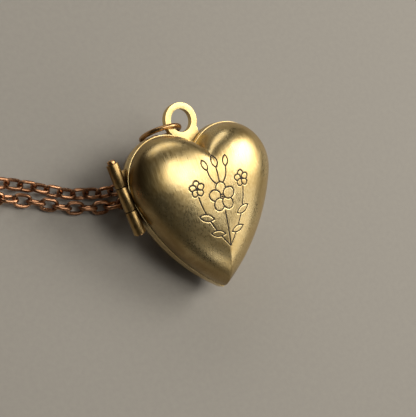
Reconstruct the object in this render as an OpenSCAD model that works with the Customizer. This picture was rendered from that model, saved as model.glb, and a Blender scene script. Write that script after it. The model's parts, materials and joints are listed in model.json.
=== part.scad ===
// Heart locket on a fine chain.
// The two domed halves are hinged along the left flank, and each holds a photo under a window.
// The locket lies on its domed back and leans so that the bail end is up. Sizes are millimetres.

/* [Heart outline] */
// Width across both lobes
heart_w = 19.6; // [18.6:0.2:20.6]
// Radius of each upper lobe
lobe_r = 5.4; // [5.3:0.1:5.6]
// Radius of the long flank that runs down to the tip
flank_r = 25; // [24:1:28]
// Angle below level where a lobe turns into its flank
flank_start = 18.8; // [16:0.2:21]

/* [Case] */
// Height of each half's rim band
rim_h = 0.65; // [0.6:0.05:0.8]
// How far a rim band stands out past its dome
rim_lip = 0.1; // [0.05:0.05:0.15]
// Inset from the outline to the inside of a rim band
rim_inset = 0.9; // [0.8:0.05:1]
// Height of each dome above its rim band
dome_h = 4.2; // [3.6:0.1:4.4]
// Sheet thickness of the domes
dome_wall = 0.4; // [0.3:0.05:0.5]
// Fullness of a dome's section, where 2 is an ellipse and more is boxier
dome_power = 3; // [2.4:0.1:3.2]
// Gap between the two closed halves
seam = 0.05; // [0.03:0.01:0.06]
// How far the bail end is raised
lean = 15; // [14:0.5:16]

/* [Hinge] */
// Radius of the rolled knuckles
knuckle_r = 0.75; // [0.7:0.05:0.8]
// Length of one knuckle
knuckle_len = 2.95; // [2.8:0.05:3]
// End gap between two knuckles
knuckle_gap = 0.07; // [0.05:0.01:0.1]
// Radius of the hinge pin
pin_r = 0.36; // [0.3:0.02:0.4]
// Running clearance of the pin in the front knuckle
pin_clearance = 0.05; // [0.03:0.01:0.08]

/* [Bail and jump ring] */
// Outer radius of the bail's eye
bail_r = 2.2; // [2.1:0.05:2.3]
// Inner radius of the bail's eye
bail_hole_r = 1.45; // [1.4:0.05:1.5]
// Thickness of the bail
bail_t = 0.8; // [0.7:0.05:0.85]
// Wire radius of the jump ring
ring_wire_r = 0.31; // [0.28:0.01:0.32]
// Mid-wire radius of the jump ring
ring_r = 2.45; // [2.4:0.05:2.5]

/* [Chain] */
// Width of the cable chain
chain_d = 1.8; // [1.7:0.1:1.9]
// Inner radius of the stored coil
coil_in_r = 7.1; // [7:0.1:7.3]
// Outer radius of the stored coil
coil_out_r = 14.9; // [14.7:0.1:15.1]
// Height of the stored coil, which is two layers of chain
coil_h = 3.8; // [3.6:0.1:4]

/* [Clasp and end tab] */
// Mid-tube radius of the spring-ring clasp
clasp_r = 2.3; // [2.2:0.05:2.4]
// Outside radius of the clasp's tube
clasp_tube_r = 0.55; // [0.5:0.05:0.6]
// Radius of the hole in the end tab
tab_hole_r = 0.9; // [0.8:0.05:1]
// Thickness of the end tab
tab_t = 0.5; // [0.4:0.05:0.6]

/* [Hidden] */
$fn = 64;

brass = "darkgoldenrod";
dark_brass = "peru";
copper = "sienna";

// ---- heart outline: two lobe arcs and two flank arcs, all concentric when inset ----
lobe_x = heart_w / 2 - lobe_r;
flank_x = lobe_x - (flank_r - lobe_r) * cos(flank_start);
flank_y = (flank_r - lobe_r) * sin(flank_start);
lobe_steps = 22;
flank_steps = 12;
inner_cleft = 0.5;
lobe_fill = 0.93;

function arc_point(cx, cy, r, angle) = [cx + r * cos(angle), cy + r * sin(angle)];

// Right half from the cleft down to the tip. A flat bridge, at least cleft each side, spans the cleft.
function half_heart(inset, cleft) =
    let (
        lobe = lobe_r - inset,
        flank = flank_r - inset,
        bridge = max(cleft, lobe_x - lobe_fill * lobe),
        cleft_angle = acos((bridge - lobe_x) / lobe),
        tip_angle = -acos(-flank_x / flank),
        lobe_sweep = cleft_angle + flank_start,
        flank_sweep = -flank_start - tip_angle
    )
    concat(
        [for (i = [0:lobe_steps])
            arc_point(lobe_x, 0, lobe, cleft_angle - lobe_sweep * i / lobe_steps)],
        [for (i = [1:flank_steps])
            arc_point(flank_x, flank_y, flank, -flank_start - flank_sweep * i / flank_steps)]
    );

function heart(inset, cleft = 0) =
    let (right = half_heart(inset, cleft), last = len(right) - 1, skip = cleft > 0 ? 0 : 1)
    concat(right, [for (i = [last - 1:-1:skip]) [-right[i].x, right[i].y]]);

// ---- dome: rings of the outline that fill the cleft as they rise ----
dome_rings = 14;
dome_centre = [0, -2];

function filled(p, inset) = (abs(p.x) < lobe_x && p.y > 0) ? [p.x, lobe_r - inset] : p;

function dome_ring(inset, height, turn) =
    let (s = pow(sin(turn), 2 / dome_power), z = height * cos(turn))
    [for (p = heart(inset))
        let (edge = filled(p, inset) * (1 - s) + p * s, q = dome_centre + s * (edge - dome_centre))
        [q.x, q.y, z]];

function dome_skin(inset, height) =
    [for (i = [1:dome_rings]) for (p = dome_ring(inset, height, 90 * i / dome_rings)) p];

module dome() {
    around = len(heart(0));
    count = dome_rings * around;
    apex_out = 2 * count;
    apex_in = apex_out + 1;
    rim_row = (dome_rings - 1) * around;
    outer = dome_skin(0, dome_h);
    inner = dome_skin(dome_wall, dome_h - dome_wall);
    top = [concat(dome_centre, [dome_h]), concat(dome_centre, [dome_h - dome_wall])];
    sides = [for (i = [0:dome_rings - 2]) for (j = [0:around - 1])
        let (k = (j + 1) % around, a = i * around)
        [[a + j, a + around + k, a + k], [a + j, a + around + j, a + around + k]]];
    caps = [for (j = [0:around - 1]) let (k = (j + 1) % around) [j, k]];
    polyhedron(
        points = concat(outer, inner, top),
        faces = concat(
            [for (s = sides) for (f = s) [f[0], f[1], f[2]]],
            [for (s = sides) for (f = s) [f[2] + count, f[1] + count, f[0] + count]],
            [for (c = caps) [apex_out, c[0], c[1]]],
            [for (c = caps) [apex_in, c[1] + count, c[0] + count]],
            [for (c = caps) [rim_row + c[0], rim_row + count + c[1], rim_row + c[1]]],
            [for (c = caps) [rim_row + c[0], rim_row + count + c[0], rim_row + count + c[1]]]
        )
    );
}

// ---- placing: the case is drawn flat around its parting plane, then leaned and set on the floor ----
case_x = 0.95;
case_y = 2.65;
case_z = 6.67;

module in_case() {
    translate([case_x, case_y, case_z]) rotate([lean, 0, 0]) children();
}

module flip() {
    mirror([0, 0, 1]) children();
}

// ---- hinge line: parallel to the outline's tangent on the left flank ----
hinge_tilt = 10.7;
hinge_out = 0.5;
hinge_slide = 0.1;
knuckle_seat = 0.08;
hinge_foot = [
    -lobe_x - (lobe_r + hinge_out) * cos(hinge_tilt),
    -(lobe_r + hinge_out) * sin(hinge_tilt)
];
knuckle_pitch = knuckle_len + knuckle_gap;
leaf_reach = 2.4;
leaf_len = 1.7;
leaf_low = 0.12;
leaf_high = 0.6;
groove_half = 10;
bore_over = 1;

module along_hinge(start = 0) {
    translate(hinge_foot) rotate([0, 0, hinge_tilt]) translate([0, start + hinge_slide, 0]) children();
}

module hinge_rod(r, start, length) {
    along_hinge(start) rotate([-90, 0, 0]) cylinder(r = r, h = length);
}

// Room for the knuckles in the two rims
module hinge_groove() {
    hinge_rod(knuckle_r + knuckle_seat, -groove_half, 2 * groove_half);
}

// One knuckle whose narrower leaf reaches the back half's rim
module knuckle(start, leaf_start, bore_r) {
    difference() {
        union() {
            hinge_rod(knuckle_r, start, knuckle_len);
            intersection() {
                hinge_rod(knuckle_r + knuckle_seat, start, knuckle_len);
                translate([0, 0, -leaf_high]) linear_extrude(leaf_high - leaf_low) leaf_outline(leaf_start);
            }
            translate([0, 0, -leaf_high]) linear_extrude(leaf_high - leaf_low) difference() {
                leaf_outline(leaf_start);
                polygon(heart(-rim_lip));
            }
        }
        hinge_rod(bore_r, start - bore_over, knuckle_len + 2 * bore_over);
    }
}

module leaf_outline(start) {
    translate(hinge_foot) rotate(hinge_tilt) translate([0, start + hinge_slide])
        square([leaf_reach, leaf_len]);
}

// ---- case parts ----
module rim(inset, cleft) {
    difference() {
        translate([0, 0, seam / 2]) linear_extrude(rim_h - seam / 2) difference() {
            polygon(heart(-rim_lip));
            polygon(heart(inset, cleft));
        }
        hinge_groove();
    }
}

tray_t = 0.2;
tray_depth = 0.28;
tray_outer = 0.75;
tray_inner = 0.87;
photo_t = 0.08;
window_t = 0.2;
bezel_t = 0.25;
bezel_border = 0.8;
stack_low = rim_h + tray_depth;

module plate(inset, low, thickness) {
    translate([0, 0, low]) linear_extrude(thickness) polygon(heart(inset, inner_cleft));
}

module band(outer_inset, inner_inset, low, thickness) {
    translate([0, 0, low]) linear_extrude(thickness) difference() {
        polygon(heart(outer_inset, inner_cleft));
        polygon(heart(inner_inset, inner_cleft));
    }
}

module tray() {
    band(tray_outer, tray_inner, rim_h, tray_depth);
    plate(tray_outer, stack_low, tray_t);
}

module photo(inset) {
    plate(inset, stack_low - photo_t, photo_t);
}

module window(inset) {
    plate(inset, stack_low - photo_t - window_t, window_t);
}

module bezel(inset) {
    band(inset, inset + bezel_border, stack_low - photo_t - window_t - bezel_t, bezel_t);
}

lip_t = 0.3;
lip_rise = 0.35;
lip_clearance = 0.1;
front_stack_inset = 0.9;
back_stack_inset = 1.25;

module back_cover() {
    color(brass) in_case() flip() translate([0, 0, rim_h]) dome();
}

module back_rim() {
    color(brass) in_case() flip() rim(rim_inset, inner_cleft);
}

module closing_lip() {
    color(dark_brass) in_case() band(rim_inset, rim_inset + lip_t, -rim_h, rim_h + lip_rise);
}

nib_r = 0.2;
nib_len = 1.2;
nib_out = 0.06;
nib_z = 0.2;
nib_room = 1;

// Small half-round nib on the lip, opposite the hinge
module catch_nib() {
    lip_x = lobe_x + lobe_r - rim_inset;
    color(dark_brass) in_case() intersection() {
        translate([lip_x - nib_r + nib_out, 0, nib_z]) rotate([90, 0, 0])
            cylinder(r = nib_r, h = nib_len, center = true);
        difference() {
            translate([lip_x - nib_r, -nib_room, -nib_r]) cube([nib_room, 2 * nib_room, nib_room]);
            linear_extrude(2 * nib_room, center = true) polygon(heart(rim_inset, inner_cleft));
        }
    }
}

module back_tray() {
    color(brass) in_case() flip() tray();
}

module back_photo() {
    color("gainsboro") in_case() flip() photo(back_stack_inset);
}

module back_window() {
    color("lightcyan", 0.4) in_case() flip() window(back_stack_inset);
}

module back_bezel() {
    color(brass) in_case() flip() bezel(back_stack_inset);
}

module front_cover() {
    color(brass) in_case() translate([0, 0, rim_h]) dome();
}

module front_rim() {
    color(brass) in_case() rim(rim_inset - lip_clearance, inner_cleft);
}

module front_tray() {
    color(brass) in_case() tray();
}

module front_photo() {
    color("gainsboro") in_case() photo(front_stack_inset);
}

module front_window() {
    color("lightcyan", 0.4) in_case() window(front_stack_inset);
}

module front_bezel() {
    color(brass) in_case() bezel(front_stack_inset);
}

module upper_knuckle() {
    start = knuckle_pitch - knuckle_len / 2;
    color(dark_brass) in_case() knuckle(start, start, pin_r);
}

module lower_knuckle() {
    start = -knuckle_pitch - knuckle_len / 2;
    color(dark_brass) in_case() knuckle(start, start + knuckle_len - leaf_len, pin_r);
}

module middle_knuckle() {
    color(dark_brass) in_case() flip() knuckle(-knuckle_len / 2, -leaf_len / 2, pin_r + pin_clearance);
}

pin_head_out = 0.14;
pin_head_h = 0.5;
pin_foot_h = 0.2;

// Pin with a round head above the top knuckle and a flattened end below the bottom one
module hinge_pin() {
    reach = knuckle_pitch + knuckle_len / 2;
    head_r = pin_r + pin_head_out;
    color(brass) in_case() {
        hinge_rod(pin_r, -reach, 2 * reach);
        hinge_rod(head_r, reach, pin_head_h);
        hinge_rod(head_r, -reach - pin_foot_h, pin_foot_h);
    }
}

// ---- bail: a flat eye whose foot fills the cleft of the back half ----
bail_eye = [-0.5, 6.7];
bail_top = -0.05;
bail_foot = [[-2.1, 5.3], [-1.6, 4.3], [0, 3], [1.6, 4.3], [1.5, 5.6]];
bail_cutter = 3;

module bail() {
    color(brass) in_case() difference() {
        translate([0, 0, bail_top - bail_t]) {
            translate(bail_eye) cylinder(r = bail_r, h = bail_t);
            linear_extrude(bail_t) difference() {
                polygon(bail_foot);
                polygon(heart(-rim_lip));
            }
        }
        translate(bail_eye) cylinder(r = bail_hole_r, h = bail_cutter, center = true);
    }
}

// ---- jump ring: upright, hooked through the bail's eye and sloping down to the left ----
ring_slope = 37;
eye_wire = [0.15, 8.6, 7.85];
ring_centre = eye_wire - ring_r * [cos(ring_slope), 0, sin(ring_slope)];
ring_cut = 0.05;
ring_cut_turn = 60;
ring_cut_reach = 4;

module wire_ring(r, wire) {
    rotate_extrude() translate([r, 0]) circle(r = wire, $fn = 32);
}

module jump_ring() {
    color(dark_brass) translate(ring_centre) rotate([90, ring_slope, 0]) difference() {
        wire_ring(ring_r, ring_wire_r);
        rotate([0, 0, ring_cut_turn]) translate([0, -ring_cut / 2, -ring_wire_r])
            cube([ring_cut_reach, ring_cut, 2 * ring_wire_r]);
    }
}

// ---- chain: two strands that share the jump ring, then a round coil of both ----
strand_sides = 8;
coil_centre = [-43, -2.5];

strand_a = [
    [-2.1, 8.4, 4], [-2.6, 8.1, 2.9], [-3.1, 7.7, 1.9], [-3.7, 7.1, 1.2], [-4.3, 6.4, 0.9],
    [-5, 5.6, 0.9], [-5.9, 4.8, 0.9], [-7, 4.3, 0.9], [-8.5, 4.2, 0.9], [-10.6, 4.5, 0.9],
    [-13.8, 5.2, 0.9], [-17.3, 6.8, 0.9], [-21.4, 8.3, 0.9], [-26, 9.4, 0.9], [-30, 10.2, 0.9],
    [-34, 10.9, 0.9], [-37, 11.2, 0.9], [-40, 11.3, 0.9]
];
strand_b = [
    [-2.1, 8.4, 4], [-1.9, 7.9, 3], [-1.8, 7.2, 2], [-1.9, 6.4, 1.3], [-2.4, 5.5, 0.9],
    [-3.2, 4.6, 0.9], [-4.4, 3.6, 0.9], [-5.7, 2.9, 0.9], [-7, 2.5, 0.9], [-8.5, 2.4, 0.9],
    [-10.6, 2.6, 0.9], [-14.6, 3.6, 0.9], [-17.6, 4.9, 0.9], [-21.7, 6.4, 0.9], [-25.5, 7.1, 0.9],
    [-28.2, 7.4, 1.4], [-30.6, 7.5, 2.3], [-33, 7.6, 2.8]
];

function unit(v) = v / norm(v);

function heading(route, i) =
    unit(route[min(i + 1, len(route) - 1)] - route[max(i - 1, 0)]);

// A strand is a plain tube with one ring of points at each point of its route
module tube(route, r) {
    last = len(route) - 1;
    points = [for (i = [0:last])
        let (
            ahead = heading(route, i),
            side = unit(cross([0, 0, 1], ahead)),
            up = cross(ahead, side)
        )
        for (j = [0:strand_sides - 1])
            let (turn = 360 * (j + 0.5) / strand_sides)
            route[i] + r * (cos(turn) * side + sin(turn) * up)];
    walls = [for (i = [0:last - 1]) for (j = [0:strand_sides - 1])
        let (k = (j + 1) % strand_sides, a = i * strand_sides)
        [[a + j, a + strand_sides + k, a + k], [a + j, a + strand_sides + j, a + strand_sides + k]]];
    polyhedron(
        points = points,
        faces = concat(
            [for (w = walls) for (f = w) f],
            [[for (j = [0:strand_sides - 1]) j]],
            [[for (j = [strand_sides - 1:-1:0]) last * strand_sides + j]]
        )
    );
}

module chain_strand_a() {
    color(copper) tube(strand_a, chain_d / 2);
}

module chain_strand_b() {
    color(copper) tube(strand_b, chain_d / 2);
}

module chain_coil() {
    color(copper) translate(coil_centre) rotate_extrude()
        translate([coil_in_r, 0]) square([coil_out_r - coil_in_r, coil_h]);
}

// ---- spring-ring clasp, lying flat inside the coil ----
clasp_at = [-43.6, 1.5, 0.65];
tube_bore_r = 0.36;
bolt_r = 0.31;
mouth = 25;
bolt_nose = 29;
bolt_tail = 70;
spring_end = 170;
knob_angle = 38;
bolt_travel = 52;
knob_r = 0.28;
knob_len = 1.1;
knob_play = 6;
slot_half = knob_r + 0.05;
slot_step = 0.4;
slot_turn = 4;
slot_reach = 2;
bore_end = 6;
tail_r = 0.9;
tail_t = 0.6;
tail_x = -clasp_r - clasp_tube_r - 0.75;
tail_hole_x = tail_x - 0.15;
tail_hole_r = 0.55;

module arc_tube(r, from, to) {
    rotate([0, 0, from]) rotate_extrude(angle = to - from) translate([clasp_r, 0])
        circle(r = r, $fn = 32);
}

// The knob's side of the clasp faces -Y
module at_clasp() {
    translate(clasp_at) mirror([0, 1, 0]) children();
}

module clasp_body() {
    color(brass) at_clasp() difference() {
        union() {
            arc_tube(clasp_tube_r, mouth, 360 - mouth);
            translate([tail_x, 0, -tail_t / 2]) cylinder(r = tail_r, h = tail_t);
        }
        arc_tube(tube_bore_r, mouth - 1, spring_end);
        arc_tube(tube_bore_r, 360 - mouth - bore_end, 360 - mouth + 1);
        translate([tail_hole_x, 0, 0]) cylinder(r = tail_hole_r, h = 2 * tail_t, center = true);
        for (turn = [knob_angle - knob_play:slot_turn:knob_angle + bolt_travel + knob_play])
            rotate([0, 0, turn]) translate([clasp_r, -slot_step, -slot_half])
                cube([slot_reach, 2 * slot_step, 2 * slot_half]);
    }
}

module clasp_bolt() {
    color(brass) at_clasp() {
        arc_tube(bolt_r, -bolt_nose, bolt_tail);
        rotate([0, 0, knob_angle]) translate([clasp_r, 0, 0]) rotate([0, 90, 0])
            cylinder(r = knob_r, h = knob_len);
    }
}

// Outer shape of the fine coil spring that pushes the bolt shut
module clasp_spring() {
    color("silver") at_clasp() arc_tube(bolt_r, bolt_tail, spring_end);
}

link_r = 0.6;
link_wire_r = 0.2;
link_z = 0.84;
link_offset = 0.58;

module clasp_ring() {
    color(brass) translate([clasp_at.x + tail_hole_x, clasp_at.y + link_offset, link_z])
        rotate([90, 0, 90]) wire_ring(link_r, link_wire_r);
}

// ---- end tab: a small flat tag that the clasp hooks into ----
tab_at = [-42.1, -6.9, 0.4];
tab_len = 3;
tab_r = 1.7;
tab_neck_r = 0.8;
tab_link_hole_r = 0.45;

module end_tab() {
    lean_in = acos((tab_r - tab_neck_r) / tab_len);
    tangent = [cos(lean_in), sin(lean_in)];
    below = [cos(lean_in), -sin(lean_in)];
    color(brass) translate(tab_at) difference() {
        union() {
            cylinder(r = tab_r, h = tab_t);
            translate([tab_len, 0, 0]) cylinder(r = tab_neck_r, h = tab_t);
            linear_extrude(tab_t) polygon([
                tab_r * tangent, [tab_len, 0] + tab_neck_r * tangent,
                [tab_len, 0] + tab_neck_r * below, tab_r * below
            ]);
        }
        cylinder(r = tab_hole_r, h = 3 * tab_t, center = true);
        translate([tab_len, 0, 0]) cylinder(r = tab_link_hole_r, h = 3 * tab_t, center = true);
    }
}

module end_tab_ring() {
    color(brass) translate([tab_at.x + tab_len + link_offset, tab_at.y, link_z])
        rotate([90, 0, 0]) wire_ring(link_r, link_wire_r);
}

back_cover();
back_rim();
closing_lip();
catch_nib();
back_tray();
back_photo();
back_window();
back_bezel();
upper_knuckle();
lower_knuckle();
hinge_pin();
bail();
front_cover();
front_rim();
front_tray();
front_photo();
front_window();
front_bezel();
middle_knuckle();
jump_ring();
chain_strand_a();
chain_strand_b();
chain_coil();
clasp_body();
clasp_bolt();
clasp_spring();
clasp_ring();
end_tab();
end_tab_ring();
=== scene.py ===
"""Looks for a heart locket: engraved satin covers, hinge, bail, jump ring, cable chain and clasp."""
import json
import math
import random

import bmesh
import bpy
import numpy as np
from mathutils import Matrix, Vector


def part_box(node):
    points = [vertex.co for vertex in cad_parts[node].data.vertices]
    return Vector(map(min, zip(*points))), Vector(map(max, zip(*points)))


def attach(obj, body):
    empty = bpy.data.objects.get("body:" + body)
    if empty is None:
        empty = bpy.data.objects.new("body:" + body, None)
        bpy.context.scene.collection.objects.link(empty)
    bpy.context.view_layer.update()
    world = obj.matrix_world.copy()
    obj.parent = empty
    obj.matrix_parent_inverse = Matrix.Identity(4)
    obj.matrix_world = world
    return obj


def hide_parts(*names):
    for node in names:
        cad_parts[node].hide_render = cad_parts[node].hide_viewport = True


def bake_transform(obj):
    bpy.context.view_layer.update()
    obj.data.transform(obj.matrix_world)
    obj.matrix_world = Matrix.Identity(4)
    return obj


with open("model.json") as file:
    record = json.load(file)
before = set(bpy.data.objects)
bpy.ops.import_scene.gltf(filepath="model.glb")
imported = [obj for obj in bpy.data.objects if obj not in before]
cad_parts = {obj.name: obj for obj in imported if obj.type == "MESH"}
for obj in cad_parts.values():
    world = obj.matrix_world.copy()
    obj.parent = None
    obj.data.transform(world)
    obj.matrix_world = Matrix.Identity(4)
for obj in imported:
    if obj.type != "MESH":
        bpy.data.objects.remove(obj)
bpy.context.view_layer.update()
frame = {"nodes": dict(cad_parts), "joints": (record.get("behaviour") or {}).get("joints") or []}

MM = 0.001
random.seed(7)

JOINTS = {joint["name"]: joint for joint in frame["joints"]}
NODES = frame["nodes"]

# ---- the case's driving sizes, in millimetres, as the CAD part has them ----
HEART_W = 19.6
LOBE_R = 5.4
FLANK_R = 25.0
FLANK_START = math.radians(18.8)
LOBE_FILL = 0.93
LOBE_X = HEART_W / 2 - LOBE_R
FLANK_X = LOBE_X - (FLANK_R - LOBE_R) * math.cos(FLANK_START)
FLANK_Y = (FLANK_R - LOBE_R) * math.sin(FLANK_START)
RIM_H = 0.65
RIM_LIP = 0.1
DOME_H = 4.2
DOME_WALL = 0.4
DOME_POWER = 3.0
DOME_CENTRE = np.array([0.0, -2.0])
SOFT_RIM = 0.05
SOFT_TOP = 1.0
KNUCKLE_R = 0.75
KNUCKLE_LEN = 2.95
KNUCKLE_PITCH = 3.02
KNUCKLE_SLIDE = 0.1
PIN_R = 0.36
PIN_PLAY = 0.05


# ---- camera, at the photographed viewing angle ----
VIEW_AZIMUTH = math.radians(-74.725)
VIEW_ELEVATION = math.radians(58.166)
VIEW_ROLL = math.radians(57.098)
CAMERA_AT = Vector((-71.258, -21.678, 126.959)) * MM
LENS = 100
SENSOR = 36


def make_camera():
    back = Vector((
        math.sin(VIEW_AZIMUTH) * math.cos(VIEW_ELEVATION),
        -math.cos(VIEW_AZIMUTH) * math.cos(VIEW_ELEVATION),
        math.sin(VIEW_ELEVATION),
    ))
    level = Vector((math.cos(VIEW_AZIMUTH), math.sin(VIEW_AZIMUTH), 0))
    right = level * math.cos(VIEW_ROLL) + back.cross(level) * math.sin(VIEW_ROLL)
    up = back.cross(right)
    data = bpy.data.cameras.new("camera")
    data.lens = LENS
    data.sensor_width = SENSOR
    data.clip_start = 0.01
    data.clip_end = 5
    camera = bpy.data.objects.new("camera", data)
    camera.matrix_world = Matrix.Translation(CAMERA_AT) @ Matrix((right, up, back)).transposed().to_4x4()
    bpy.context.collection.objects.link(camera)
    bpy.context.scene.camera = camera


make_camera()


# ---- mesh helpers ----
def add_piece(name, verts, faces, body, material, replaces=(), sharp=40):
    """A smooth-shaded piece from points in metres, riding on a body."""
    mesh = bpy.data.meshes.new(name)
    mesh.from_pydata([tuple(v) for v in verts], [], faces)
    obj = bpy.data.objects.new(name, mesh)
    bpy.context.collection.objects.link(obj)
    return finish_piece(obj, body, material, replaces, sharp)


def finish_piece(obj, body, material, replaces=(), sharp=40):
    mesh = obj.data
    mesh.polygons.foreach_set("use_smooth", [True] * len(mesh.polygons))
    mesh.set_sharp_from_angle(angle=math.radians(sharp))
    mesh.materials.clear()
    mesh.materials.append(material)
    if body:
        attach(obj, body)
    if replaces:
        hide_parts(*replaces)
    return obj


def ring_faces(rows, around, start=0):
    """Quads between successive rings of points."""
    return [
        (start + i * around + j, start + i * around + (j + 1) % around,
         start + (i + 1) * around + (j + 1) % around, start + (i + 1) * around + j)
        for i in range(rows - 1) for j in range(around)
    ]


def frames_along(path, closed=False, up=None):
    """Unit tangent, side and rise at each point of a path; a fixed up keeps the sides level."""
    path = np.asarray(path, float)
    if closed:
        tangent = np.roll(path, -1, 0) - np.roll(path, 1, 0)
    else:
        tangent = np.gradient(path, axis=0)
    tangent /= np.linalg.norm(tangent, axis=1)[:, None]
    up = np.array([0.0, 0.0, 1.0]) if up is None else np.asarray(up, float)
    side = np.cross(tangent, up)
    side /= np.maximum(np.linalg.norm(side, axis=1), 1e-9)[:, None]
    return tangent, side, np.cross(side, tangent)


def sweep(path, radius, sides, closed=False, up=None):
    """A round wire along a path: its points and faces, with flat ends when it is open."""
    path = np.asarray(path, float)
    _, side, rise = frames_along(path, closed, up)
    radius = np.broadcast_to(radius, len(path))
    turns = np.linspace(0, 2 * math.pi, sides, endpoint=False)
    verts = np.concatenate([
        path[i] + radius[i] * (np.cos(turns)[:, None] * side[i] + np.sin(turns)[:, None] * rise[i])
        for i in range(len(path))
    ])
    faces = ring_faces(len(path), sides)
    if closed:
        end = (len(path) - 1) * sides
        faces += [(end + j, end + (j + 1) % sides, (j + 1) % sides, j) for j in range(sides)]
    else:
        faces.append(tuple(range(sides - 1, -1, -1)))
        faces.append(tuple((len(path) - 1) * sides + j for j in range(sides)))
    return verts, faces


def circle_path(centre, radius, across, over, start=0.0, end=360.0, count=96):
    """Points of an arc in the plane of two unit directions."""
    whole = abs(end - start) >= 360
    turns = np.radians(np.linspace(start, end, count, endpoint=not whole))
    return (np.asarray(centre) + radius * (np.cos(turns)[:, None] * np.asarray(across)
                                           + np.sin(turns)[:, None] * np.asarray(over)))


def lathe(profile, at, axis, sides=48):
    """Turns a profile of (radius, height) pairs round an axis; the profile may close on itself."""
    axis = np.asarray(axis, float) / np.linalg.norm(axis)
    side = np.cross(axis, [1.0, 0, 0])
    side /= np.linalg.norm(side)
    rise = np.cross(axis, side)
    turns = np.linspace(0, 2 * math.pi, sides, endpoint=False)
    verts = np.concatenate([
        np.asarray(at) + h * axis + r * (np.cos(turns)[:, None] * side + np.sin(turns)[:, None] * rise)
        for r, h in profile
    ])
    faces = ring_faces(len(profile), sides)
    faces.append(tuple(range(sides - 1, -1, -1)))
    faces.append(tuple((len(profile) - 1) * sides + j for j in range(sides)))
    return verts, faces


def refined(node, name, body, material, bevel, segments=3, sharp=35):
    """A finer piece from a CAD node's own shape, with its sharp edges rounded."""
    source = NODES[node].data
    work = bmesh.new()
    work.from_mesh(source)
    bmesh.ops.remove_doubles(work, verts=work.verts, dist=1e-7)
    bmesh.ops.dissolve_limit(work, angle_limit=math.radians(1), verts=work.verts, edges=work.edges)
    edges = [e for e in work.edges
             if len(e.link_faces) == 2 and e.calc_face_angle(0) > math.radians(sharp)]
    bmesh.ops.bevel(work, geom=edges, offset=bevel * MM, segments=segments, profile=0.5,
                    affect="EDGES", clamp_overlap=True)
    bmesh.ops.triangulate(work, faces=[f for f in work.faces if len(f.verts) > 4])
    mesh = bpy.data.meshes.new(name)
    work.to_mesh(mesh)
    work.free()
    obj = bpy.data.objects.new(name, mesh)
    bpy.context.collection.objects.link(obj)
    return finish_piece(obj, body, material, (node,), sharp)


# ---- material helpers ----
class Nodes:
    """Short names for building one material's node tree."""

    def __init__(self, name):
        self.material = bpy.data.materials.new(name)
        self.material.use_nodes = True
        self.tree = self.material.node_tree
        self.shader = self.tree.nodes["Principled BSDF"]

    def add(self, kind, inputs=None, **settings):
        node = self.tree.nodes.new(kind)
        for key, value in settings.items():
            setattr(node, key, value)
        for key, value in (inputs or {}).items():
            self.put(node, key, value)
        return node

    def put(self, node, key, value):
        socket = node.inputs[key]
        if isinstance(value, bpy.types.NodeSocket):
            self.tree.links.new(value, socket)
        else:
            socket.default_value = value

    def set(self, **values):
        for key, value in values.items():
            self.put(self.shader, key.replace("_", " "), value)

    def points(self, scale, turn=(0, 0, 0)):
        """Object coordinates in millimetres, stretched by scale."""
        place = self.add("ShaderNodeTexCoord").outputs["Object"]
        mapping = self.add("ShaderNodeMapping", {
            "Vector": place, "Scale": [s / MM for s in scale], "Rotation": turn})
        return mapping.outputs["Vector"]

    def noise(self, scale, detail=2.0, rough=0.5, turn=(0, 0, 0), distortion=0.0):
        scale = (scale,) * 3 if isinstance(scale, (int, float)) else scale
        return self.add("ShaderNodeTexNoise", {
            "Vector": self.points(scale, turn), "Scale": 1.0, "Detail": detail,
            "Roughness": rough, "Distortion": distortion}).outputs["Fac"]

    def span(self, value, low, high, to_low=0.0, to_high=1.0):
        return self.add("ShaderNodeMapRange", {
            "Value": value, "From Min": low, "From Max": high,
            "To Min": to_low, "To Max": to_high}).outputs["Result"]

    def mix(self, fac, a, b, blend="MIX"):
        node = self.add("ShaderNodeMix", data_type="RGBA", blend_type=blend)
        for index, value in ((0, fac), (6, a), (7, b)):
            if isinstance(value, bpy.types.NodeSocket):
                self.tree.links.new(value, node.inputs[index])
            elif index:
                node.inputs[index].default_value = (*value, 1.0)
            else:
                node.inputs[index].default_value = value
        return node.outputs[2]

    def maths(self, operation, a, b=0.0):
        return self.add("ShaderNodeMath", {0: a, 1: b}, operation=operation).outputs[0]

    def bump(self, height, distance, strength=1.0, normal=None):
        inputs = {"Height": height, "Distance": distance * MM, "Strength": strength}
        if normal is not None:
            inputs["Normal"] = normal
        return self.add("ShaderNodeBump", inputs).outputs["Normal"]


LEAN = math.atan2(-JOINTS["cover_hinge"]["axis"][2], -JOINTS["cover_hinge"]["axis"][1])


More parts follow.
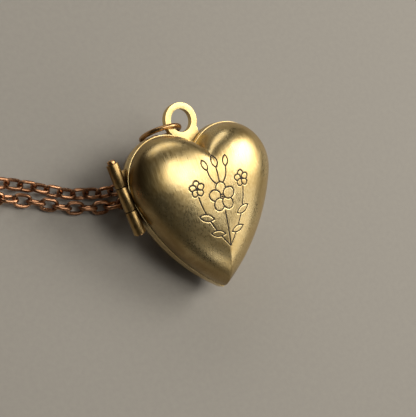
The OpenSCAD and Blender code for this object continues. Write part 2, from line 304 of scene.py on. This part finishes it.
def metal(name, light, deep, tarnish_and_crevice_shade, roughness, streaks=(7, 0.3, 7), streak_depth=0.006,
          scratches=0.0, engraved=False, crevice_shade_reach=0.6):
    """Brushed, hand-finished metal: long fine streaks, slow clouds of tone, random tarnish specks and painted
    shade darkening its crevices.
    """
    m = Nodes(name)
    turn = (-LEAN, 0, 0)
    streak = m.noise(streaks, 3.0, 0.6, turn)
    fine = m.noise([s * 2.6 for s in streaks], 2.0, 0.6, turn)
    cloud = m.noise(0.22, 3.0, 0.55, turn, 0.4)
    speck = m.noise(5.5, 4.0, 0.65)
    tone = m.span(m.maths("ADD", m.maths("MULTIPLY", cloud, 0.6), m.maths("MULTIPLY", streak, 0.4)),
                  0.36, 0.64)
    colour = m.mix(tone, deep, light)
    colour = m.mix(m.span(speck, 0.62, 0.8, 0.0, 0.12), colour, tarnish_and_crevice_shade)
    # Painted shade: an occlusion node darkens the colour towards the tarnish colour in crevices and between
    # parts.
    closeness = m.add("ShaderNodeAmbientOcclusion", {"Distance": crevice_shade_reach * MM}, samples=8).outputs["AO"]
    crevice_shade = m.span(closeness, 0.2, 0.75, 0.9, 0.0)
    colour = m.mix(crevice_shade, colour, tarnish_and_crevice_shade)
    rough = m.maths("ADD", m.span(streak, 0.3, 0.7, roughness - 0.05, roughness + 0.07),
                    m.span(cloud, 0.35, 0.65, 0.04, -0.04))
    rough = m.maths("ADD", rough, m.maths("MULTIPLY", crevice_shade, 0.2))
    height = m.maths("ADD", streak, m.maths("MULTIPLY", fine, 0.5))
    if scratches:
        scuff = m.noise((1.3, 16, 4), 2.0, 0.5, (0.3, 0.2, 0.7), 0.6)
        height = m.maths("ADD", height, m.span(scuff, 0.6, 0.66, 0.0, -scratches))
    normal = m.bump(height, streak_depth)
    normal = m.bump(m.noise(0.9, 2.0, 0.5), 0.02, 0.5, normal)
    metallic = 1.0
    if engraved:
        mask = m.add("ShaderNodeAttribute", attribute_name="engraving").outputs["Fac"]
        edge = m.maths("ADD", mask, m.span(speck, 0.3, 0.7, -0.12, 0.12))
        dark = m.span(edge, 0.14, 0.42)
        colour = m.mix(dark, colour, (0.018, 0.011, 0.007))
        rough = m.maths("ADD", rough, m.maths("MULTIPLY", dark, 0.25))
        metallic = m.span(dark, 0.0, 1.0, 1.0, 0.2)
        # Painted shade: a darker tone on the steep flank along the hinge, standing in for the dark reflection
        # there.
        painted_flank_shade = m.add("ShaderNodeAttribute", attribute_name="painted_flank_shade").outputs["Fac"]
        flank_shade = m.maths("MULTIPLY", painted_flank_shade, m.span(cloud, 0.35, 0.6, 1.0, 0.75))
        colour = m.mix(flank_shade, colour, (0.12, 0.072, 0.03))
    m.set(Base_Color=colour, Roughness=rough, Metallic=metallic, Normal=normal)
    return m.material


SATIN = metal("satin_brass", (0.76, 0.60, 0.31), (0.58, 0.40, 0.15), (0.13, 0.07, 0.025), 0.31,
              engraved=True)
# Darker brass with scratches, for the hinge's knuckles, the closing lip and the catch nib.
DARK_BRASS = metal("worn_brass", (0.50, 0.34, 0.14), (0.22, 0.135, 0.05), (0.05, 0.025, 0.01), 0.33,
             streaks=(6, 1.2, 6), streak_depth=0.006, scratches=0.5, crevice_shade_reach=0.5)
BAIL_BRASS = metal("bail_brass", (0.80, 0.61, 0.28), (0.68, 0.49, 0.19), (0.16, 0.08, 0.03), 0.34,
                   streaks=(6, 4, 6), streak_depth=0.004, crevice_shade_reach=0.4)
INNER = metal("inner_brass", (0.74, 0.58, 0.30), (0.64, 0.49, 0.24), (0.16, 0.10, 0.04), 0.30,
              crevice_shade_reach=0.3)
COPPER = metal("copper_chain", (0.62, 0.32, 0.17), (0.27, 0.125, 0.06), (0.03, 0.014, 0.008), 0.30,
               streaks=(5, 5, 5), streak_depth=0.006, crevice_shade_reach=0.5)
COPPER_WIRE = metal("copper_wire", (0.62, 0.38, 0.17), (0.40, 0.21, 0.085), (0.06, 0.027, 0.012), 0.27,
                    streaks=(5, 7, 5), streak_depth=0.004, crevice_shade_reach=0.4)
CLASP_BRASS = metal("clasp_brass", (0.76, 0.58, 0.29), (0.60, 0.43, 0.19), (0.10, 0.055, 0.02), 0.24,
                    streaks=(5, 5, 5), streak_depth=0.003, scratches=0.3, crevice_shade_reach=0.3)
STEEL = metal("spring_steel", (0.60, 0.60, 0.58), (0.42, 0.41, 0.40), (0.10, 0.09, 0.08), 0.28,
              streaks=(8, 8, 8), streak_depth=0.002, crevice_shade_reach=0.2)


def card():
    """Blank photo paper: faint fibres and a slightly warm, uneven tone."""
    m = Nodes("photo_card")
    fibre = m.noise((9, 5, 9), 4.0, 0.7)
    tone = m.noise(0.35, 2.0, 0.5)
    colour = m.mix(m.span(tone, 0.35, 0.65), (0.78, 0.74, 0.66), (0.70, 0.66, 0.58))
    m.set(Base_Color=colour, Roughness=m.span(fibre, 0.3, 0.7, 0.5, 0.68),
          Normal=m.bump(fibre, 0.01), Specular_IOR_Level=0.4)
    return m.material


def clear():
    """Thin clear sheet with hairline scuffs."""
    m = Nodes("clear_window")
    scuff = m.noise((1.2, 14, 4), 2.0, 0.5, (0.2, 0.1, 0.9), 0.5)
    haze = m.noise(0.8, 3.0, 0.6)
    tint = m.mix(m.span(haze, 0.3, 0.7), (0.97, 0.98, 0.97), (0.92, 0.94, 0.93))
    m.set(Base_Color=tint, Roughness=m.span(scuff, 0.55, 0.7, 0.03, 0.2),
          Normal=m.bump(scuff, 0.002), IOR=1.49, Transmission_Weight=1.0)
    return m.material


CARD = card()
CLEAR = clear()


# ---- chain: the CAD part's two strands, then their share of the coil ----
LINK_LONG = 2.5
LINK_WIDE = 1.8
LINK_WIRE = 0.23
LINK_PITCH = 1.66
LINK_STEPS = 22
LINK_SIDES = 9
LINK_SQUARE = 4
LINK_TWIST = 9
COIL_CENTRE = np.array([-43.0, -2.5])
COIL_POINTS = 24
LAYER_LOW, LAYER_HIGH = 0.9, 2.85

STRAND_A = [
    (-2.1, 8.4, 4), (-2.6, 8.1, 2.9), (-3.1, 7.7, 1.9), (-3.7, 7.1, 1.2), (-4.3, 6.4, 0.9),
    (-5, 5.6, 0.9), (-5.9, 4.8, 0.9), (-7, 4.3, 0.9), (-8.5, 4.2, 0.9), (-10.6, 4.5, 0.9),
    (-13.8, 5.2, 0.9), (-17.3, 6.8, 0.9), (-21.4, 8.3, 0.9), (-26, 9.4, 0.9), (-30, 10.2, 0.9),
    (-34, 10.9, 0.9), (-37, 11.2, 0.9), (-40, 11.3, 0.9),
]
STRAND_B = [
    (-2.1, 8.4, 4), (-1.9, 7.9, 3), (-1.8, 7.2, 2), (-1.9, 6.4, 1.3), (-2.4, 5.5, 0.9),
    (-3.2, 4.6, 0.9), (-4.4, 3.6, 0.9), (-5.7, 2.9, 0.9), (-7, 2.5, 0.9), (-8.5, 2.4, 0.9),
    (-10.6, 2.6, 0.9), (-14.6, 3.6, 0.9), (-17.6, 4.9, 0.9), (-21.7, 6.4, 0.9), (-25.5, 7.1, 0.9),
    (-28.2, 7.4, 1.4), (-30.6, 7.5, 2.3), (-33, 7.6, 2.8),
]


def coil_points(start, end, turns, r_start, r_end, height):
    """Turns that wind inwards, from a start angle in degrees."""
    count = max(2, round(turns * COIL_POINTS))
    for i in range(count + 1):
        share = i / count
        turn = math.radians(start + (end - start) * share)
        radius = r_start + (r_end - r_start) * share
        yield (COIL_CENTRE[0] + radius * math.cos(turn), COIL_CENTRE[1] + radius * math.sin(turn), height)


def smooth(points, step):
    """A Catmull-Rom curve through the points, resampled evenly."""
    p = np.asarray(points, float)
    p = np.vstack([2 * p[0] - p[1], p, 2 * p[-1] - p[-2]])
    out = []
    for i in range(1, len(p) - 2):
        for t in np.linspace(0, 1, 12, endpoint=False):
            out.append(0.5 * (2 * p[i] + (p[i + 1] - p[i - 1]) * t
                              + (2 * p[i - 1] - 5 * p[i] + 4 * p[i + 1] - p[i + 2]) * t * t
                              + (3 * p[i] - 3 * p[i + 1] + p[i + 2] - p[i - 1]) * t ** 3))
    out.append(p[-2])
    out = np.array(out)
    along = np.concatenate([[0], np.cumsum(np.linalg.norm(np.diff(out, axis=0), axis=1))])
    stations = np.arange(0, along[-1], step)
    return np.stack([np.interp(stations, along, out[:, k]) for k in range(3)], axis=1), along[-1]


def link_shape():
    """One oval link round the origin, lying in the XY plane with its length along X."""
    bend = (LINK_WIDE - 2 * LINK_WIRE) / 2
    half = (LINK_LONG - 2 * LINK_WIRE) / 2 - bend
    turns = np.linspace(0, 2 * math.pi, LINK_STEPS, endpoint=False)
    path = np.stack([
        bend * np.cos(turns) + half * np.tanh(LINK_SQUARE * np.cos(turns)),
        bend * np.sin(turns),
        np.zeros(LINK_STEPS),
    ], axis=1)
    return sweep(path, LINK_WIRE, LINK_SIDES, closed=True)


def chain(name, points, replaces, first, base_roll):
    """Separate links along a route, each turned a quarter against its neighbour."""
    centres, _ = smooth(points, LINK_PITCH)
    tangent, side, rise = frames_along(centres)
    shape, shape_faces = link_shape()
    verts, faces = [], []
    for i in range(first, len(centres)):
        roll = math.radians(base_roll + 90 * i + random.uniform(-LINK_TWIST, LINK_TWIST))
        across = math.cos(roll) * side[i] + math.sin(roll) * rise[i]
        normal = np.cross(tangent[i], across)
        base = len(verts) * len(shape)
        verts.append(centres[i] + shape @ np.array([tangent[i], across, normal]))
        faces += [tuple(base + k for k in face) for face in shape_faces]
    return add_piece(name, np.concatenate(verts) * MM, faces, "chain", COPPER, replaces)


def strand_routes():
    """Each strand's chosen points, its winds in the coil and its way to its end fitting."""
    ring_a = sum(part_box("end_tab_ring"), Vector()) / 2 / MM
    ring_b = sum(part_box("clasp_ring"), Vector()) / 2 / MM
    reach = 0.6
    end_a = [(ring_a.x + reach + 0.9, ring_a.y - 0.9, LAYER_LOW), (ring_a.x + reach, ring_a.y, ring_a.z)]
    end_b = [(ring_b.x + 0.9, ring_b.y + reach + 1.3, 2.0), (ring_b.x, ring_b.y + reach, ring_b.z)]
    a = STRAND_A + list(coil_points(90, 1018, 2.58, 13.9, 8.3, LAYER_LOW)) + end_a
    b = STRAND_B + list(coil_points(52, 825, 2.15, 13.1, 8.4, LAYER_HIGH)) + end_b
    return a, b


ROUTE_A, ROUTE_B = strand_routes()
LINKS_A = chain("chain_links_a", ROUTE_A, ("chain_strand_a", "chain_coil"), 0, 65)
LINKS_B = chain("chain_links_b", ROUTE_B, ("chain_strand_b", "chain_coil"), 1, 35)
LENGTH_A = smooth(ROUTE_A, 1.0)[1] * MM
LENGTH_B = smooth(ROUTE_B, 1.0)[1] * MM


# ---- case shape, in the case's own flat frame ----
def heart(inset, around):
    """The outline from the cleft down the right side to the tip and back up the left."""
    lobe, flank = LOBE_R - inset, FLANK_R - inset
    bridge = max(0.0, LOBE_X - LOBE_FILL * lobe)
    cleft_turn = math.acos((bridge - LOBE_X) / lobe)
    tip_turn = -math.acos(-FLANK_X / flank)
    lobe_len = lobe * (cleft_turn + FLANK_START)
    flank_len = flank * (-FLANK_START - tip_turn)
    half = around // 2
    on_lobe = round(half * lobe_len / (lobe_len + flank_len))
    turns = np.linspace(cleft_turn, -FLANK_START, on_lobe, endpoint=False)
    right = [np.stack([LOBE_X + lobe * np.cos(turns), lobe * np.sin(turns)], axis=1)]
    turns = np.linspace(-FLANK_START, tip_turn, half - on_lobe + 1)
    right.append(np.stack([FLANK_X + flank * np.cos(turns), FLANK_Y + flank * np.sin(turns)], axis=1))
    right = np.concatenate(right)
    left = right[::-1] * [-1, 1]
    return np.concatenate([right, left[1:-1]])


def softened(loop, amount):
    """Rounds a closed loop's corners by a blur as wide as amount, in millimetres."""
    spacing = np.linalg.norm(np.diff(loop, axis=0), axis=1).mean()
    waves = np.fft.fftfreq(len(loop))
    fade = np.exp(-2 * (math.pi * waves * amount / max(spacing, 1e-6)) ** 2)
    return np.real(np.fft.ifft(np.fft.fft(loop, axis=0) * fade[:, None], axis=0))


def dome_rings(inset, height, turns, around):
    """Rings of the dome: the heart at the rim, with its cleft filling out and softening towards the top."""
    outline = heart(inset, around)
    filled = outline.copy()
    top = (np.abs(outline[:, 0]) < LOBE_X) & (outline[:, 1] > 0)
    filled[top, 1] = LOBE_R - inset
    rings = []
    for turn in turns:
        s = math.sin(turn) ** (2 / DOME_POWER)
        ring = DOME_CENTRE + s * (filled * (1 - s) + outline * s - DOME_CENTRE)
        ring = softened(ring, (SOFT_RIM + SOFT_TOP * (1 - s)) * max(s, SOFT_RIM))
        rings.append(np.column_stack([ring, np.full(len(ring), height * math.cos(turn))]))
    return np.array(rings)


# ---- engraving: a plain mirrored spray, one large flower between two small ones on curved stems ----
LINE_HALF = 0.105
LINE_DEPTH = 0.05
FLOWERS = [((-3.2, -1.6), 1.0, 90), ((3.2, -1.6), 1.0, 90), ((0.0, -3.2), 1.8, 90)]
BUDS = [((-1.3, 0.3), (-1.7, 1.6), 0.7), ((1.3, 0.3), (1.7, 1.6), 0.7), ((0.0, 0.4), (0.0, 1.9), 0.8)]
LEAVES = [
    ((-1.7, -5.6), (-3.5, -4.9), 0.8), ((1.7, -5.6), (3.5, -4.9), 0.8),
    ((-0.5, -7.6), (-2.3, -7.2), 0.7), ((0.5, -7.6), (2.3, -7.2), 0.7),
]
STEMS = [
    ((0.0, -9.2), (-2.2, -5.8), (-3.2, -2.6)), ((0.0, -9.2), (2.2, -5.8), (3.2, -2.6)),
    ((0.0, -9.2), (0.0, -7.0), (0.0, -5.0)), ((0.0, -1.4), (0.0, -0.5), (0.0, 0.4)),
    ((-0.5, -1.5), (-1.1, -0.7), (-1.3, 0.3)), ((0.5, -1.5), (1.1, -0.7), (1.3, 0.3)),
]
PETALS = 5
PETAL_OUT, PETAL_LONG, PETAL_WIDE = 0.57, 0.43, 0.38
EYE_R = 0.05


class Engraving:
    """Line work over points in the case's own plane: each closed shape hides what lies under it."""

    def __init__(self, x, y):
        self.x, self.y = x, y
        self.mask = np.zeros_like(x)

    def line(self, distance):
        self.mask = np.maximum(self.mask, np.clip(1 - np.abs(distance) / LINE_HALF, 0, 1))

    def closed(self, distance):
        self.mask = np.where(distance < 0, 0, self.mask)
        self.line(distance)

    def oval(self, centre, along, across, turn):
        c, s = math.cos(turn), math.sin(turn)
        u = ((self.x - centre[0]) * c + (self.y - centre[1]) * s) / along
        v = ((self.y - centre[1]) * c - (self.x - centre[0]) * s) / across
        size = np.sqrt(u * u + v * v) + 1e-9
        slope = np.sqrt((u / along) ** 2 + (v / across) ** 2) / size + 1e-9
        self.closed((size - 1) / slope)

    def flower(self, centre, radius, turn):
        for i in range(PETALS):
            a = math.radians(turn + 360 * i / PETALS)
            out = PETAL_OUT * radius
            middle = (centre[0] + out * math.cos(a), centre[1] + out * math.sin(a))
            self.oval(middle, PETAL_LONG * radius, PETAL_WIDE * radius, a)
        near = np.hypot(self.x - centre[0], self.y - centre[1])
        self.line(np.maximum(near - EYE_R, 0))

    def almond(self, base, tip, width):
        base, tip = np.array(base), np.array(tip)
        middle, half = (base + tip) / 2, np.linalg.norm(tip - base) / 2
        reach = (half ** 2 + (width / 2) ** 2) / width
        off = np.array([-(tip - base)[1], (tip - base)[0]]) / (2 * half) * (reach - width / 2)
        d = [np.hypot(self.x - c[0], self.y - c[1]) - reach for c in (middle + off, middle - off)]
        self.closed(np.maximum(*d))

    def stem(self, start, bend, end):
        p = [np.array(q, float) for q in (start, bend, end)]
        t = np.linspace(0, 1, 13)[:, None]
        curve = (1 - t) * ((1 - t) * p[0] + t * (2 * p[1] - (p[0] + p[2]) / 2)) \
            + t * ((1 - t) * (2 * p[1] - (p[0] + p[2]) / 2) + t * p[2])
        best = np.full_like(self.x, 9.0)
        for a, b in zip(curve[:-1], curve[1:]):
            d = b - a
            k = np.clip(((self.x - a[0]) * d[0] + (self.y - a[1]) * d[1]) / (d @ d), 0, 1)
            best = np.minimum(best, np.hypot(self.x - a[0] - k * d[0], self.y - a[1] - k * d[1]))
        self.line(best)

    def spray(self):
        """Stems first, then the buds, leaves and flowers that lie over them."""
        for stem in STEMS:
            self.stem(*stem)
        for bud in BUDS + LEAVES:
            self.almond(*bud)
        for flower in FLOWERS:
            self.flower(*flower)
        return self.mask


# Shares of the outline's size at the first ring, at the engraving's edge and where the dome turns steep.
RING_FIRST, RING_ENGRAVED, RING_STEEP = 0.012, 0.72, 0.93


def ring_turns(fine):
    """Turn angles of the dome's rings, closer together where the engraving is."""
    shares = np.concatenate([
        np.linspace(RING_FIRST, RING_ENGRAVED, fine, endpoint=False),
        np.linspace(RING_ENGRAVED, RING_STEEP, fine // 5, endpoint=False),
    ])
    high = np.arcsin(shares ** (DOME_POWER / 2))
    low = np.linspace(math.asin(RING_STEEP ** (DOME_POWER / 2)), math.pi / 2, fine // 4)
    return np.concatenate([high, low])


def dome_mesh(around, fine, engraved):
    """Outer skin, inner skin and the rim face between them, with the engraving mask per point."""
    turns = ring_turns(fine)
    outer = dome_rings(0, DOME_H, turns, around)
    inner = dome_rings(DOME_WALL, DOME_H - DOME_WALL, turns[::6][:-1].tolist() + [math.pi / 2], around)
    mask = np.zeros(outer.shape[:2])
    if engraved:
        mask = Engraving(outer[:, :, 0], outer[:, :, 1]).spray()
        outer[:, :, 2] -= LINE_DEPTH * np.sqrt(mask)
    verts = np.concatenate([outer.reshape(-1, 3), inner.reshape(-1, 3),
                            [[*DOME_CENTRE, DOME_H], [*DOME_CENTRE, DOME_H - DOME_WALL]]])
    first = len(outer) * around
    faces = [face[::-1] for face in ring_faces(len(outer), around)]
    faces += ring_faces(len(inner), around, first)
    end = first + (len(inner) - 1) * around
    rim = (len(outer) - 1) * around
    apex = len(verts) - 2
    for j in range(around):
        k = (j + 1) % around
        faces.append((apex, k, j))
        faces.append((apex + 1, first + j, first + k))
        faces.append((rim + j, rim + k, end + k, end + j))
    return verts, faces, np.concatenate([mask.ravel(), np.zeros(len(verts) - first)])


def case_frame():
    """Where the flat case frame stands: leaned about X, and placed so that a dome meets its CAD box."""
    lean = Matrix.Rotation(LEAN, 4, "X")
    points = dome_rings(0, DOME_H, np.linspace(0.05, math.pi / 2, 40), 360).reshape(-1, 3)
    points = (points + [0, 0, RIM_H]) @ np.array(lean.to_3x3()).T
    low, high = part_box("front_cover")
    middle = (points.min(0) + points.max(0)) / 2
    return Matrix.Translation((low + high) / 2 / MM - Vector(middle)) @ lean


CASE = case_frame()
CASE_TURN = np.array(CASE.to_3x3())
CASE_AT = np.array(CASE.translation)


def to_world(points, flip=False):
    """Case frame in millimetres to the row frame in metres."""
    points = np.asarray(points, float)
    if flip:
        points = points * [1, 1, -1]
    return (points @ CASE_TURN.T + CASE_AT) * MM


def ease(value, low, high):
    """A smooth step from 0 to 1 between two values."""
    share = np.clip((value - low) / (high - low), 0, 1)
    return share * share * (3 - 2 * share)


def flank_shade_of(points, base):
    """How dark the painted shade is: most on the steep edge along the hinge's flank, which faces away from
    the lamps.
    """
    steep = 1 - ease((points[:, 2] - base) / DOME_H, 0.35, 0.72)
    hinge_side = ease(-0.9 * points[:, 0] - 0.43 * points[:, 1], 2.5, 6.0)
    return 0.85 * steep * hinge_side


def cover(name, node, body, around, fine, engraved, flip):
    verts, faces, mask = dome_mesh(around, fine, engraved)
    verts = verts + [0, 0, RIM_H]
    if flip:
        faces = [face[::-1] for face in faces]
    obj = add_piece(name, to_world(verts, flip), faces, body, SATIN, (node,))
    for label, values in (("engraving", mask), ("painted_flank_shade", flank_shade_of(verts, RIM_H))):
        attribute = obj.data.attributes.new(label, "FLOAT", "POINT")
        attribute.data.foreach_set("value", np.asarray(values, np.float32))


cover("front_cover_shell", "front_cover", "locket_front", 560, 130, True, False)
cover("back_cover_shell", "back_cover", "locket_back", 300, 50, False, True)

RIM_BEVEL = 0.07
FRAME_BEVEL = 0.06
CLASP_BEVEL = 0.05
refined("front_rim", "front_rim_band", "locket_front", SATIN, RIM_BEVEL)
refined("back_rim", "back_rim_band", "locket_back", SATIN, RIM_BEVEL)
refined("closing_lip", "closing_lip_band", "locket_back", DARK_BRASS, FRAME_BEVEL)
refined("front_bezel", "front_bezel_frame", "locket_front", INNER, FRAME_BEVEL)
refined("back_bezel", "back_bezel_frame", "locket_back", INNER, FRAME_BEVEL)
refined("bail", "bail_eye", "locket_back", BAIL_BRASS, 0.16, 4)
refined("clasp_body", "clasp_tube", "chain", CLASP_BRASS, CLASP_BEVEL)
refined("clasp_bolt", "clasp_thumb_bolt", "clasp_bolt", CLASP_BRASS, CLASP_BEVEL)
refined("end_tab", "end_tab_plate", "chain", CLASP_BRASS, 0.09)


# ---- hinge: three rolled knuckles on one pin ----
HINGE_AT = np.linalg.inv(CASE_TURN) @ (np.array(JOINTS["cover_hinge"]["pos_m"]) / MM - CASE_AT)
HINGE_TILT = math.asin(JOINTS["cover_hinge"]["axis"][0])
HINGE_ALONG = np.array([-math.sin(HINGE_TILT), math.cos(HINGE_TILT), 0])
HINGE_ACROSS = np.array([math.cos(HINGE_TILT), math.sin(HINGE_TILT), 0])
SEAM_HALF = math.radians(5)
LEAF_LOW, LEAF_HIGH = 0.12, 0.6
LEAF_LEN = 1.7
LEAF_CUTS = 9
CHAMFER = 0.09
PIN_HEAD_OUT = 0.14


def hinge_point(u, v, z=0.0):
    """A place given across, along and above the hinge line, in the case frame."""
    return HINGE_AT + u * HINGE_ACROSS + (v + KNUCKLE_SLIDE) * HINGE_ALONG + np.array([0, 0, z])


def rim_reach(v):
    """How far the rim's outside lies from the hinge line, at a place along it."""
    outline = heart(-RIM_LIP, 400) - HINGE_AT[:2]
    left = outline[outline[:, 0] + HINGE_AT[0] < -LOBE_X]
    u, along = left @ HINGE_ACROSS[:2], left @ HINGE_ALONG[:2] - KNUCKLE_SLIDE
    order = np.argsort(along)
    return float(np.interp(v, along[order], u[order]))


def knuckle(name, node, body, start, leaf_start, bore, up):
    """A strip rolled into a barrel, with its seam at the leaf that joins it to the rim."""
    seam = math.radians(-25 if up < 0 else 25)
    turns = np.linspace(seam + SEAM_HALF, seam + 2 * math.pi - SEAM_HALF, 44)
    low, part = CHAMFER, CHAMFER * 0.3
    stations = [(0, low), (part, part), (low, 0),
                (KNUCKLE_LEN - low, 0), (KNUCKLE_LEN - part, part), (KNUCKLE_LEN, low)]
    verts = []
    for along, cut in stations:
        for radius in (KNUCKLE_R - cut, bore + cut * 0.4):
            verts += [hinge_point(radius * math.cos(a), start + along, radius * math.sin(a)) for a in turns]
    n = len(turns)
    faces = []
    for s in range(len(stations) - 1):
        a, b = 2 * s * n, 2 * (s + 1) * n
        for j in range(n - 1):
            faces.append((a + j, a + j + 1, b + j + 1, b + j))
            faces.append((a + n + j + 1, a + n + j, b + n + j, b + n + j + 1))
        faces.append((a + n, a, b, b + n))
        faces.append((a + n - 1, a + 2 * n - 1, b + 2 * n - 1, b + n - 1))
    end = 2 * (len(stations) - 1) * n
    for j in range(n - 1):
        faces.append((j + 1, j, n + j, n + j + 1))
        faces.append((end + j, end + j + 1, end + n + j + 1, end + n + j))
    base = len(verts)
    for i in range(LEAF_CUTS):
        v = leaf_start + LEAF_LEN * i / (LEAF_CUTS - 1)
        for u, z in ((0.5, LEAF_LOW), (rim_reach(v), LEAF_LOW), (rim_reach(v), LEAF_HIGH), (0.45, LEAF_HIGH)):
            verts.append(hinge_point(u, v, up * z))
    for i in range(LEAF_CUTS - 1):
        for k in range(4):
            a, b = base + 4 * i + k, base + 4 * i + (k + 1) % 4
            faces.append((a, b, b + 4, a + 4))
    faces.append((base + 3, base + 2, base + 1, base))
    faces.append(tuple(base + 4 * (LEAF_CUTS - 1) + k for k in range(4)))
    obj = add_piece(name, to_world(verts), faces, None, DARK_BRASS, (node,))
    work = bmesh.new()
    work.from_mesh(obj.data)
    bmesh.ops.recalc_face_normals(work, faces=work.faces)
    work.to_mesh(obj.data)
    work.free()
    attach(obj, body)


UPPER_START = KNUCKLE_PITCH - KNUCKLE_LEN / 2
LOWER_START = -KNUCKLE_PITCH - KNUCKLE_LEN / 2
knuckle("upper_knuckle_roll", "upper_knuckle", "locket_back", UPPER_START, UPPER_START, PIN_R, -1)
knuckle("lower_knuckle_roll", "lower_knuckle", "locket_back", LOWER_START,
        LOWER_START + KNUCKLE_LEN - LEAF_LEN, PIN_R, -1)
knuckle("middle_knuckle_roll", "middle_knuckle", "locket_front", -KNUCKLE_LEN / 2, -LEAF_LEN / 2,
        PIN_R + PIN_PLAY, 1)


def pin():
    """A rod with a flattened foot and a round head above the upper knuckle."""
    reach = KNUCKLE_PITCH + KNUCKLE_LEN / 2
    head = PIN_R + PIN_HEAD_OUT
    profile = [(head * 0.6, -reach - 0.2), (head, -reach - 0.12), (head, -reach - 0.02), (PIN_R, -reach)]
    profile += [(PIN_R, reach), (head, reach + 0.03)]
    for i in range(7):
        a = math.pi / 2 * i / 7
        profile.append((head * math.cos(a), reach + 0.28 + 0.22 * math.sin(a)))
    verts, faces = lathe(profile, hinge_point(0, 0), HINGE_ALONG, 40)
    add_piece("hinge_pin_rod", to_world(verts), faces, "locket_back", COPPER_WIRE,
              ("hinge_pin",))


pin()


# ---- round wires: the jump ring and the two small rings on the chain's ends ----
X, Y, Z = np.eye(3)


def wire_ring(name, node, body, material, across, over, cut=None):
    """A torus in the plane of two axes that fills its CAD node's box, with a sawn gap if cut is given."""
    low, high = (np.array(v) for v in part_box(node))
    normal = np.cross(across, over)
    wire = abs((high - low) @ normal) / 2
    radius = abs((high - low) @ across) / 2 - wire
    centre = (low + high) / 2
    if cut is None:
        verts, faces = sweep(circle_path(centre, radius, across, over, count=64), wire, 20, True, normal)
    else:
        half_gap = math.degrees(0.03 * MM / radius)
        path = circle_path(centre, radius, across, over, cut + half_gap, cut + 360 - half_gap - 1e-6, 120)
        verts, faces = sweep(path, wire, 28, False, normal)
    add_piece(name, verts, faces, body, material, (node,))


wire_ring("jump_ring_wire", "jump_ring", "chain", COPPER_WIRE, X, Z, 23)
wire_ring("clasp_ring_wire", "clasp_ring", "chain", CLASP_BRASS, Y, Z)
wire_ring("end_tab_ring_wire", "end_tab_ring", "chain", CLASP_BRASS, X, Z)


def clasp_spring():
    """The coil spring in the clasp's tube."""
    middle = np.array(JOINTS["clasp_bolt_slide"]["pos_m"]) / MM
    arc_r, coil_r, wire = 2.3, 0.24, 0.055
    start, end, turns, steps = math.radians(70), math.radians(170), 13, 12
    path = []
    for i in range(turns * steps + 1):
        share = i / (turns * steps)
        arc = start + (end - start) * share
        wind = 2 * math.pi * turns * share
        radius = arc_r + coil_r * math.cos(wind)
        path.append(middle + [radius * math.cos(arc), -radius * math.sin(arc), coil_r * math.sin(wind)])
    verts, faces = sweep(path, wire, 8)
    obj = add_piece("clasp_coil_spring", verts * MM, faces, None, STEEL, ("clasp_spring",))
    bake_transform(obj)


clasp_spring()


# ---- CAD nodes that keep their shape ----
def paint(material, *names):
    """Gives CAD nodes a material and leaves their shape alone."""
    for name in names:
        data = NODES[name].data
        data.materials.clear()
        data.materials.append(material)


paint(DARK_BRASS, "catch_nib")
paint(INNER, "front_tray", "back_tray")
paint(CARD, "front_photo", "back_photo")
paint(CLEAR, "front_window", "back_window")


# ---- floor and light ----
FLOOR_HALF = 0.6
LIGHT_AIM = Vector((0, 0, 0.006))


def floor():
    """A plain pale surface with a faint grain."""
    m = Nodes("floor")
    grain = m.noise(1.5, 3.0, 0.6)
    colour = m.mix(m.span(grain, 0.3, 0.7), (0.365, 0.335, 0.295), (0.39, 0.36, 0.315))
    m.set(Base_Color=colour, Roughness=m.span(grain, 0.3, 0.7, 0.85, 0.95), Normal=m.bump(grain, 0.01))
    mesh = bpy.data.meshes.new("floor")
    half = FLOOR_HALF
    mesh.from_pydata([(-half, -half, 0), (half, -half, 0), (half, half, 0), (-half, half, 0)], [],
                     [(0, 1, 2, 3)])
    mesh.materials.append(m.material)
    obj = bpy.data.objects.new("floor", mesh)
    bpy.context.collection.objects.link(obj)


def area_light(name, direction, distance, size, watts, colour, long_way=(1, 0, 0)):
    """A softbox aimed at the model; its first size runs along the direction long_way."""
    data = bpy.data.lights.new(name, "AREA")
    data.shape = "RECTANGLE"
    data.size, data.size_y = size
    data.energy = watts
    data.color = colour
    light = bpy.data.objects.new(name, data)
    away = Vector(direction).normalized()
    light.location = away * distance + LIGHT_AIM
    across = away.cross(Vector(long_way)).normalized()
    light.matrix_world = Matrix.Translation(light.location) @ Matrix(
        (across.cross(away), across, away)).transposed().to_4x4()
    bpy.context.collection.objects.link(light)


floor()
area_light("key", (0.18, -0.06, 0.98), 0.40, (0.28, 0.19), 0.66, (1.0, 0.98, 0.93), (0.92, -0.45, -0.2))
area_light("side", (0.70, 0.06, 0.58), 0.40, (0.20, 0.22), 0.85, (1.0, 0.98, 0.93))
area_light("fill", (0.72, -0.60, 0.42), 0.40, (0.22, 0.20), 0.20, (1.0, 0.96, 0.90))
area_light("back", (0.05, 0.80, 0.40), 0.45, (0.40, 0.16), 0.42, (1.0, 0.98, 0.95))
area_light("front", (0.08, -0.90, 0.36), 0.40, (0.16, 0.10), 0.06, (1.0, 0.96, 0.90))
world = bpy.data.worlds.new("studio")
world.use_nodes = True
world.node_tree.nodes["Background"].inputs["Color"].default_value = (0.62, 0.60, 0.56, 1)
world.node_tree.nodes["Background"].inputs["Strength"].default_value = 0.05
bpy.context.scene.world = world
bpy.context.scene.view_settings.view_transform = "Standard"
